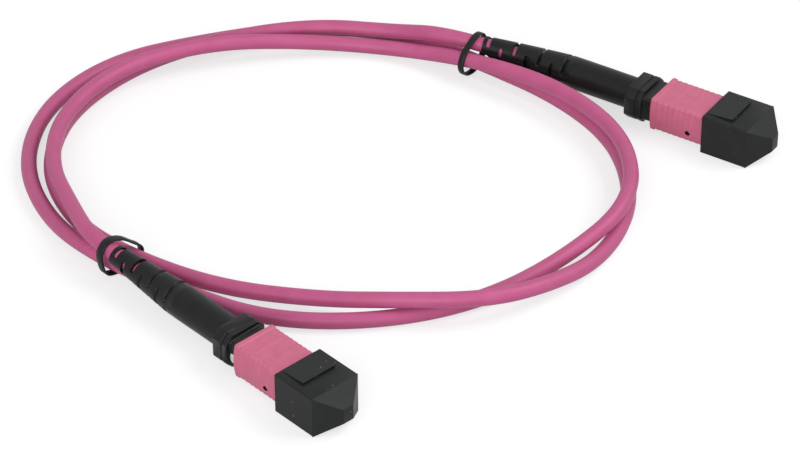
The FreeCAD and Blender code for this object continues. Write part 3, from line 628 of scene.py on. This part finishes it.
# the places along the sleeve where its outline changes, and how far it is drawn in there
rib_end = FIRST_RIB + RIB_COUNT * RIB_PITCH
stations = [(SLEEVE_BACK + back, drawn_in) for back, drawn_in in BACK_EASE]
stations += [(RIM_FRONT - RIM_WALL / 2, 0.0), (RIM_FRONT + RIM_WALL / 2, 0.0)]
stations += [(FIRST_RIB - RIB_PITCH / 4, 0.0)]
stations += [(FIRST_RIB + i * RIB_PITCH / RIB_STEPS, 0.0) for i in range(RIB_COUNT * RIB_STEPS + 1)]
stations += [(rib_end + RIB_PITCH / 4, 0.0)]
stations += [(SLEEVE_FRONT - FRONT_EASE, 0.0), (SLEEVE_FRONT, FRONT_EASE)]
sleeve_blank = skin("sleeve_blank", [(x, sleeve_section(x, inward)) for x, inward in stations])
sleeve_cutters = [skin("bore", [(x, soft_box_outline(BORE_W, BORE_H, BORE_EDGE))
                                for x in (SLEEVE_BACK - CUT_PAST, SLEEVE_FRONT + CUT_PAST)])]
for side, sign in (("left", 1), ("right", -1)):
    sleeve_cutters.append(skin("spring_way_" + side, [
        (x, round_outline(SPRING_WAY_D, sign * SIDE_Y)) for x in SPRING_WAY]))
peep = skin("peep", [(x, round_outline(PEEP_D)) for x in (0.0, SLEEVE_HALF_W + CUT_PAST)])
peep.data.transform(Matrix.Translation((PEEP_X, 0.0, PEEP_Z))
                    @ Matrix.Rotation(-math.pi / 2, 4, "Z"))
sleeve_cutters.append(peep)
sleeve_mesh = cut_away(sleeve_blank, sleeve_cutters)
sleeve_mesh.shade_smooth()
sleeve_mesh.set_sharp_from_angle(angle=SHARP)
sleeve_mesh.materials.clear()
sleeve_mesh.materials.append(sleeve_pink)
# a second, dark magenta finish for the peep hole's wall: painted shade, standing in for the shadow
# deep inside the small hole
sleeve_mesh.materials.append(plastic("painted_shade_hole_wall", (0.045, 0.003, 0.010), (0.060, 0.005, 0.015),
                                     patch=0.003, roughness=0.6, grain=0.0003, depth=0.00002,
                                     specular=0.1))
# the faces of the peep hole's wall take the painted shade
for face in sleeve_mesh.polygons:
    middle = face.center
    inside_hole = math.hypot(middle.x - PEEP_X, middle.z - PEEP_Z) < PEEP_D / 2 + SAME_POINT
    face.material_index = int(inside_hole and middle.y < -BORE_W / 2)
for end in ENDS:
    mesh = sleeve_mesh.copy()
    mesh.transform(seat[end])
    sleeve = bpy.data.objects.new("ribbed_sleeve_" + end, mesh)
    bpy.context.collection.objects.link(sleeve)
    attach(sleeve, "sleeve_" + end)
    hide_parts("coupling_sleeve_" + end)
bpy.data.meshes.remove(sleeve_mesh)

# --------------------------------------------------------------- dust caps
# A soft matt cap over the plug's nose, moulded in one with a thumb pad on top and
# a blunt four-sided point in front; fine dust clings to it.

cap_grey = plastic("matt_cap_moulding", (0.0100, 0.0107, 0.0113), (0.0155, 0.0163, 0.0171),
                   patch=0.004, roughness=0.48, grain=0.00035, depth=0.00003, specular=0.17)
DUST_EVERY, DUST_SIZE, DUST_TONE = 0.0028, 0.055, (0.20, 0.20, 0.20, 1.0)
CAP_TOP, PAD_FRONT, PAD_START = 0.00545, 0.0072, 0.04

tree = cap_grey.node_tree
shader = tree.nodes["Principled BSDF"]
moulded_tone = shader.inputs["Base Color"].links[0].from_socket
place = add(tree, "ShaderNodeTexCoord").outputs["Object"]
cells = add(tree, "ShaderNodeTexVoronoi", {"Vector": place, "Scale": 1 / DUST_EVERY})
speck = result_of(tree, "LESS_THAN", cells.outputs["Distance"], DUST_SIZE)
# this node's two colours are its sockets 6 and 7, and its mixed colour is output 2
dust = add(tree, "ShaderNodeMix", {"Factor": speck, 6: moulded_tone, 7: DUST_TONE},
           data_type="RGBA")
tree.links.new(dust.outputs[2], shader.inputs["Base Color"])
for end in ENDS:
    cap = finish_part("dust_cap_" + end, "cap_" + end, cap_grey, edge=0.00018)
    ready = cap.evaluated_get(bpy.context.evaluated_depsgraph_get())
    mesh = bpy.data.meshes.new_from_object(ready)
    cap.modifiers.clear()
    cap.data = mesh
    # the pad rises from the back of the cap to its full height at the front lip
    for vertex in mesh.vertices:
        spot = seat[end].inverted() @ vertex.co
        if spot.z > CAP_TOP:
            spot.z = CAP_TOP + (spot.z - CAP_TOP) * min(max(spot.x / PAD_FRONT, PAD_START), 1.0)
            vertex.co = seat[end] @ spot

# -------------------------------------------------------------------- ties
# A loose flat ring of black rubber behind each boot holds the turns together; it
# is stretched over the strands by hand and stays by friction.

tie_black = plastic("tie_rubber", (0.006, 0.006, 0.006), (0.009, 0.009, 0.009),
                    patch=0.003, roughness=0.5, grain=0.0002, depth=0.00001, specular=0.2)
TIE_W, TIE_T, TIE_EDGE = {"a": 0.0022, "b": 0.0017}, 0.0005, 0.00012
# where each ring stands along its plug, and the points it passes, across and up
TIE_STAND = {"a": -0.0662, "b": -0.0678}
TIE_LOOP = {
    "a": [(-0.0016, 0.0105), (-0.0040, 0.0086), (-0.0042, 0.0054), (-0.0029, 0.0016),
          (0.0008, 0.00043), (0.0054, 0.00043), (0.0079, 0.0018), (0.0080, 0.0043),
          (0.0056, 0.0066), (0.0022, 0.0094)],
    "b": [(-0.0045, 0.0103), (-0.0080, 0.0094), (-0.0112, 0.0076), (-0.0126, 0.0046),
          (-0.0112, 0.0018), (-0.0084, 0.00052), (-0.0052, 0.00052), (-0.0028, 0.0018),
          (-0.0013, 0.0050), (-0.0018, 0.0088)],
}
TIE_ROUND = 8                   # sides between two of the points
TIE_SHARP = math.radians(50)
# a plug's own frame again, but with heights from the floor
tie_seat = {end: Matrix.Translation((0.0, 0.0, -seat[end].translation.z)) @ seat[end]
            for end in ENDS}


def round_loop(points):
    """A smooth closed line through the points."""
    line, count = [], len(points)
    for i in range(count):
        before, start, end, after = (Vector(points[(i + k) % count]) for k in (-1, 0, 1, 2))
        for step in range(TIE_ROUND):
            t = step / TIE_ROUND
            line.append(start + (end - before) * (t / 2)
                        + (before * 2 - start * 5 + end * 4 - after) * (t * t / 2)
                        + (start * 3 - before - end * 3 + after) * (t ** 3 / 2))
    return line


def rubber_ring(end):
    """A flat band round the loop, with its edges eased."""
    loop = round_loop(TIE_LOOP[end])
    wide, thick = TIE_W[end] / 2, TIE_T / 2
    flat, side = wide - TIE_EDGE, thick - TIE_EDGE
    band = [(-wide, -side), (-flat, -thick), (flat, -thick), (wide, -side),
            (wide, side), (flat, thick), (-flat, thick), (-wide, side)]
    points, faces, count, edges = [], [], len(loop), len(band)
    for i, spot in enumerate(loop):
        way = (loop[(i + 1) % count] - loop[i - 1]).normalized()
        out = Vector((-way.y, way.x))
        for across, proud in band:
            place = spot + out * proud
            points.append((TIE_STAND[end] + across, place.x, place.y))
    for i in range(count):
        here, ahead = i * edges, (i + 1) % count * edges
        for k in range(edges):
            after = (k + 1) % edges
            faces.append((here + k, here + after, ahead + after, ahead + k))
    mesh = bpy.data.meshes.new("rubber_ring_" + end)
    mesh.from_pydata(points, [], faces)
    mesh.transform(tie_seat[end])
    work = bmesh.new()
    work.from_mesh(mesh)
    bmesh.ops.recalc_face_normals(work, faces=work.faces)
    work.to_mesh(mesh)
    work.free()
    mesh.shade_smooth()
    mesh.set_sharp_from_angle(angle=TIE_SHARP)
    mesh.materials.append(tie_black)
    ring = bpy.data.objects.new("rubber_ring_" + end, mesh)
    bpy.context.collection.objects.link(ring)
    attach(ring, "cord")
    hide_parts("tie_" + end)
    return ring


ties = [rubber_ring(end) for end in ENDS]
